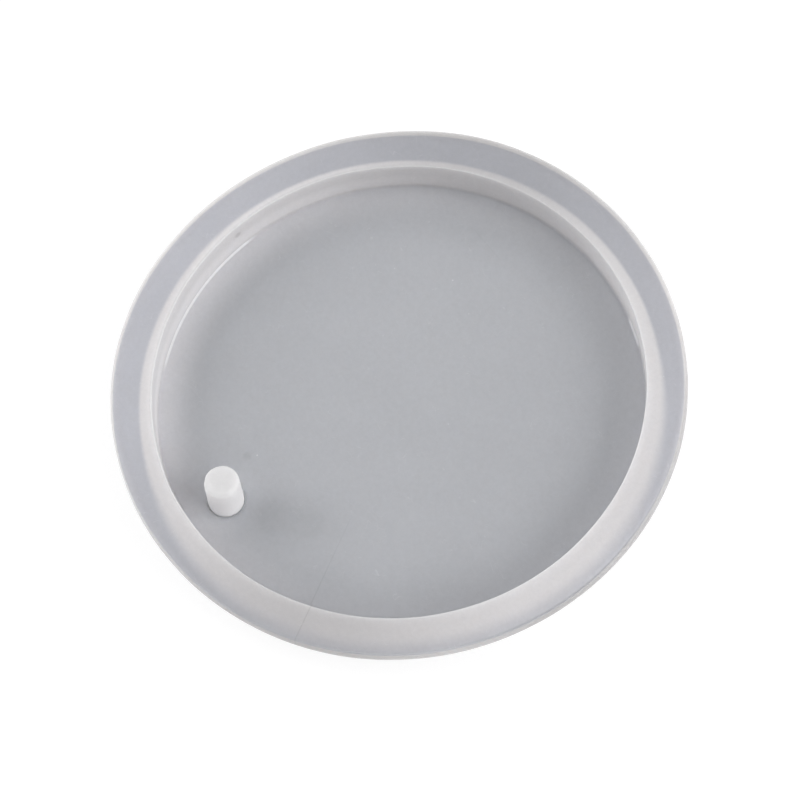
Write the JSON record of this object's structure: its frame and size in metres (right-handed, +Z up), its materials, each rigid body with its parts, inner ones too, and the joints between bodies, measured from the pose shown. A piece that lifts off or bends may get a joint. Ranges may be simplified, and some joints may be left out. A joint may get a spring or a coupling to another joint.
{
  "type": "resin casting mould",
  "caption": "Shallow round silicone casting tray with a thin wall, a flat flange round its mouth, and a small upright peg near the wall that leaves a hanging hole in the casting.",
  "frame": {"origin": "centre of the flat underside, on the surface that the mould stands on", "axes": "+Z up out of the cavity, +Y from the centre towards the peg"},
  "size_m": [0.093, 0.093, 0.0096],
  "materials": {
    "milky_silicone": "translucent milky silicone with a smooth satin surface",
    "white_silicone": "whiter, nearly opaque silicone with a satin surface"
  },
  "bodies": {
    "tray": {"mould_tray": "milky_silicone"},
    "peg": {"hole_peg": "white_silicone"}
  },
  "joints": [
    {"name": "peg_pull", "type": "slide", "parent": "tray", "child": "peg", "axis": [0, 0, 1], "range_m": [0, 0.01]}
  ]
}
